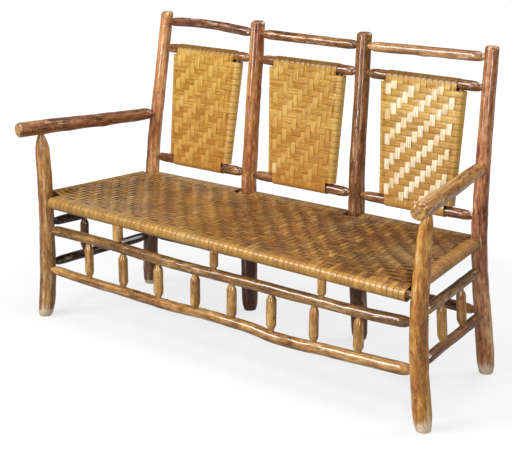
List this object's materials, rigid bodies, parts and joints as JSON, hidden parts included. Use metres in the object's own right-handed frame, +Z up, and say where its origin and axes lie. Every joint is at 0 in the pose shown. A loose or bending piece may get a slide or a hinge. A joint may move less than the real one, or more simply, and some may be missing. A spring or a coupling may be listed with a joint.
{
  "type": "rustic settee",
  "caption": "Open-arm rustic settee of peeled sapling poles with tenoned rails, spindled stretchers, a woven bark seat and woven bark back panels.",
  "frame": {"origin": "middle of the overall outline in plan, on the floor under the feet", "axes": "+X to the right of someone looking at the front, +Y to the back, +Z up; the front faces -Y"},
  "size_m": [1.6336, 0.638, 1.04],
  "materials": {
    "front_post_wood": "varnished peeled sapling",
    "rear_post_wood": "varnished peeled sapling",
    "arm_wood": "varnished peeled sapling",
    "back_rail_wood": "varnished peeled sapling",
    "seat_rail_wood": "varnished peeled sapling",
    "stretcher_wood": "varnished peeled sapling",
    "spindle_wood": "varnished peeled sapling",
    "panel_bark": "varnished woven bark strips",
    "seat_bark": "worn, varnished woven bark strips"
  },
  "bodies": {
    "root": {"front_post_left": "front_post_wood", "front_post_right": "front_post_wood", "rear_post_left": "rear_post_wood", "rear_post_right": "rear_post_wood", "rear_post_inner_left": "rear_post_wood", "rear_post_inner_right": "rear_post_wood", "arm_left": "arm_wood", "arm_right": "arm_wood", "crest_rail_left": "back_rail_wood", "crest_rail_middle": "back_rail_wood", "crest_rail_right": "back_rail_wood", "panel_top_rail_left": "back_rail_wood", "panel_top_rail_middle": "back_rail_wood", "panel_top_rail_right": "back_rail_wood", "panel_bottom_rail_left": "back_rail_wood", "panel_bottom_rail_middle": "back_rail_wood", "panel_bottom_rail_right": "back_rail_wood", "panel_left_rod_left": "back_rail_wood", "panel_left_rod_right": "back_rail_wood", "panel_middle_rod_left": "back_rail_wood", "panel_middle_rod_right": "back_rail_wood", "panel_right_rod_left": "back_rail_wood", "panel_right_rod_right": "back_rail_wood", "seat_rail_front": "seat_rail_wood", "seat_rail_left": "seat_rail_wood", "seat_rail_right": "seat_rail_wood", "seat_rail_rear_left": "seat_rail_wood", "seat_rail_rear_middle": "seat_rail_wood", "seat_rail_rear_right": "seat_rail_wood", "front_stretcher_upper": "stretcher_wood", "front_stretcher_lower": "stretcher_wood", "side_stretcher_left_upper": "stretcher_wood", "side_stretcher_left_lower": "stretcher_wood", "side_stretcher_right_upper": "stretcher_wood", "side_stretcher_right_lower": "stretcher_wood", "rear_stretcher_left": "stretcher_wood", "rear_stretcher_middle": "stretcher_wood", "rear_stretcher_right": "stretcher_wood", "front_spindle_1": "spindle_wood", "front_spindle_2": "spindle_wood", "front_spindle_3": "spindle_wood", "front_spindle_4": "spindle_wood", "front_spindle_5": "spindle_wood", "front_spindle_6": "spindle_wood", "front_spindle_7": "spindle_wood", "front_spindle_8": "spindle_wood", "short_spindle_1": "spindle_wood", "short_spindle_2": "spindle_wood", "short_spindle_3": "spindle_wood", "side_spindle_left_1": "spindle_wood", "side_spindle_left_2": "spindle_wood", "side_spindle_right_1": "spindle_wood", "side_spindle_right_2": "spindle_wood", "woven_panel_left": "panel_bark", "woven_panel_middle": "panel_bark", "woven_panel_right": "panel_bark", "woven_seat": "seat_bark"}
  },
  "joints": []
}
